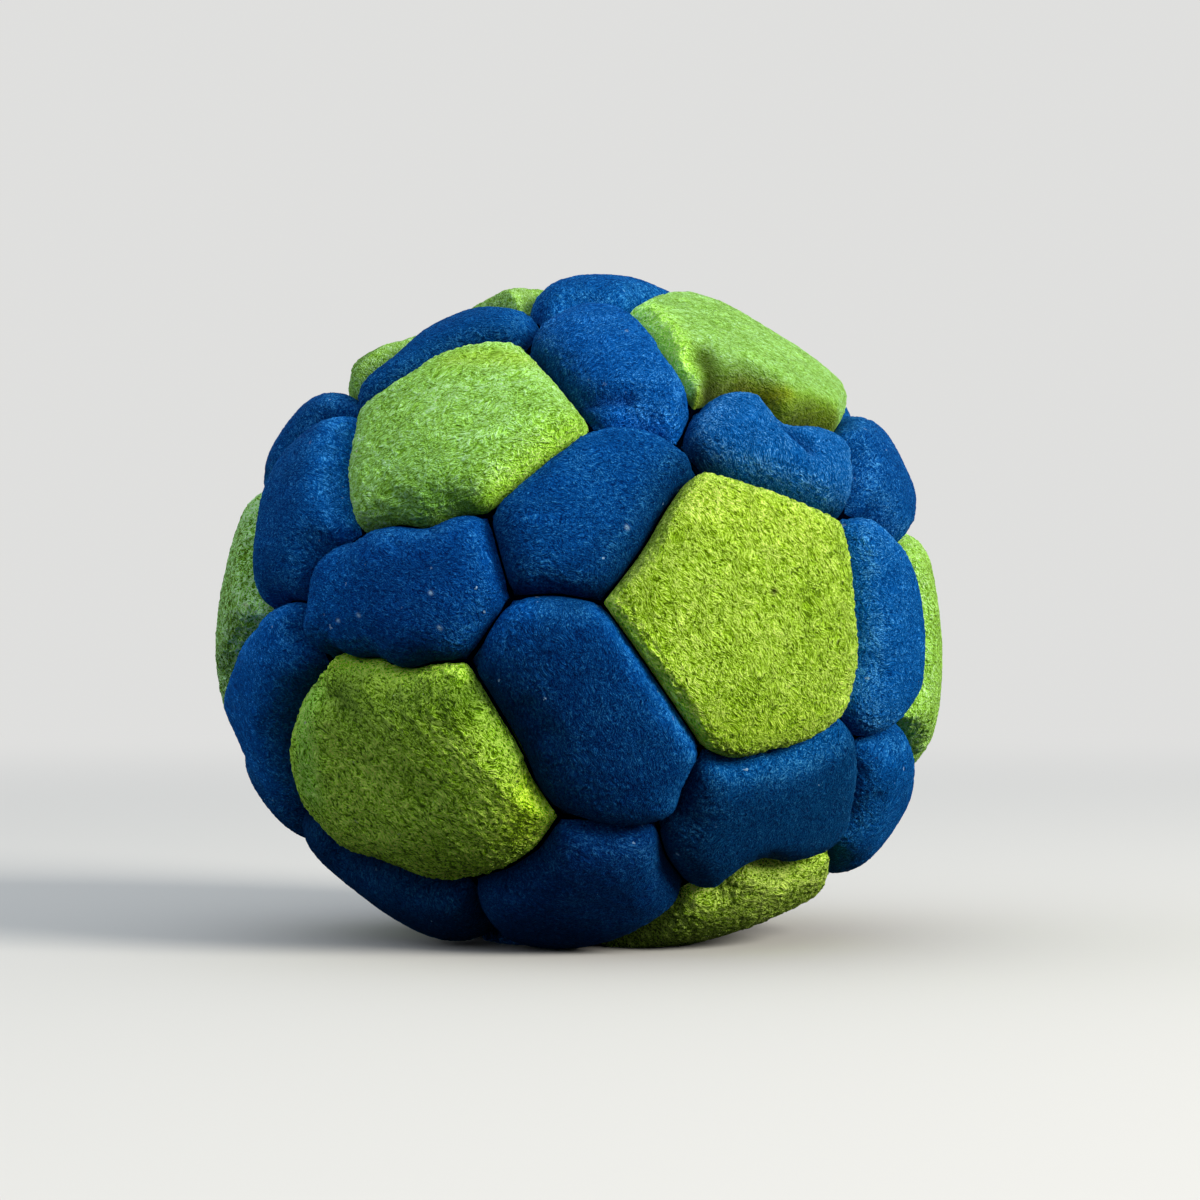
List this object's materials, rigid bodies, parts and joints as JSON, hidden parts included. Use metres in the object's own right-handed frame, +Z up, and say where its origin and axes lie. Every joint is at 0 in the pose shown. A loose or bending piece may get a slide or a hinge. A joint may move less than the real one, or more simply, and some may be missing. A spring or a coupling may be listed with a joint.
{
  "type": "footbag",
  "caption": "Round kick bag of sewn suede pentagon and hexagon panels over loose fill, pressed flat where it rests.",
  "frame": {"origin": "middle of the bag's box, on the plane of the pressed-flat underside", "axes": "+Z up from the surface it rests on; -Y towards the side that the picture shows; +X to that view's right"},
  "size_m": [0.0554, 0.0562, 0.0508],
  "materials": {
    "green_suede": "matt napped suede",
    "blue_suede": "matt napped suede",
    "dark_thread": "matt sewing thread",
    "pellets": "satin pellets"
  },
  "bodies": {
    "root": {"green_pentagon_a": "green_suede", "green_pentagon_b": "green_suede", "green_pentagon_c": "green_suede", "green_pentagon_d": "green_suede", "green_pentagon_e": "green_suede", "green_pentagon_f": "green_suede", "green_pentagon_g": "green_suede", "green_pentagon_h": "green_suede", "green_pentagon_i": "green_suede", "green_pentagon_j": "green_suede", "green_pentagon_k": "green_suede", "green_pentagon_l": "green_suede", "blue_hexagon_ab": "blue_suede", "blue_hexagon_ac": "blue_suede", "blue_hexagon_ad": "blue_suede", "blue_hexagon_ae": "blue_suede", "blue_hexagon_af": "blue_suede", "blue_hexagon_bc": "blue_suede", "blue_hexagon_bd": "blue_suede", "blue_hexagon_bg": "blue_suede", "blue_hexagon_bh": "blue_suede", "blue_hexagon_ce": "blue_suede", "blue_hexagon_cg": "blue_suede", "blue_hexagon_ci": "blue_suede", "blue_hexagon_df": "blue_suede", "blue_hexagon_dh": "blue_suede", "blue_hexagon_dk": "blue_suede", "blue_hexagon_ef": "blue_suede", "blue_hexagon_ei": "blue_suede", "blue_hexagon_ej": "blue_suede", "blue_hexagon_fj": "blue_suede", "blue_hexagon_fk": "blue_suede", "blue_hexagon_gh": "blue_suede", "blue_hexagon_gi": "blue_suede", "blue_hexagon_gl": "blue_suede", "blue_hexagon_hk": "blue_suede", "blue_hexagon_hl": "blue_suede", "blue_hexagon_ij": "blue_suede", "blue_hexagon_il": "blue_suede", "blue_hexagon_jk": "blue_suede", "blue_hexagon_jl": "blue_suede", "blue_hexagon_kl": "blue_suede", "seam_thread": "dark_thread", "pellet_fill": "pellets"}
  },
  "joints": []
}
